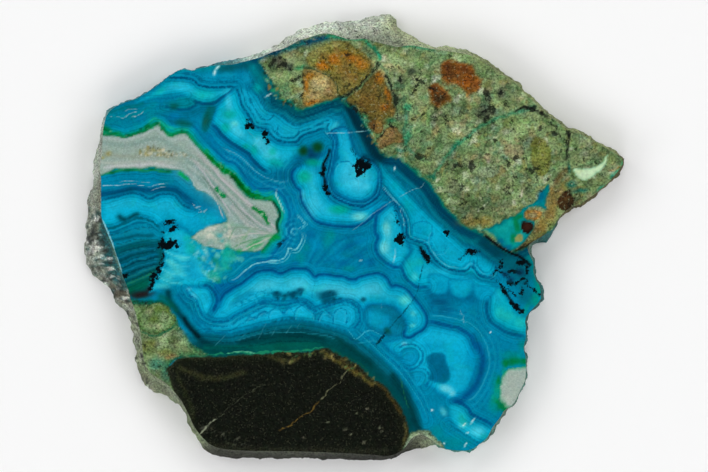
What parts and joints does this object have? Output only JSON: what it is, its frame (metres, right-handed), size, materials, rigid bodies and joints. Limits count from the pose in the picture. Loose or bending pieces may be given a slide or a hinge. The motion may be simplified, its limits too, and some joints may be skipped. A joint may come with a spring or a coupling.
{
  "type": "chrysocolla slice",
  "caption": "Polished flat slice of banded blue chrysocolla with breccia, a dark clast and a grey chalcedony vein, with rough natural edges.",
  "frame": {"origin": "middle of the bounding box at the sawn back face, which the slice rests on", "axes": "+X along the slice's length towards its point, +Y across it towards the wide pale rind, +Z out of the polished face"},
  "size_m": [0.1084, 0.0896, 0.0065],
  "materials": {
    "chrysocolla": "polished face with satin sawn back and rough natural rind"
  },
  "bodies": {
    "root": {"chrysocolla_slice": "chrysocolla"}
  },
  "joints": []
}
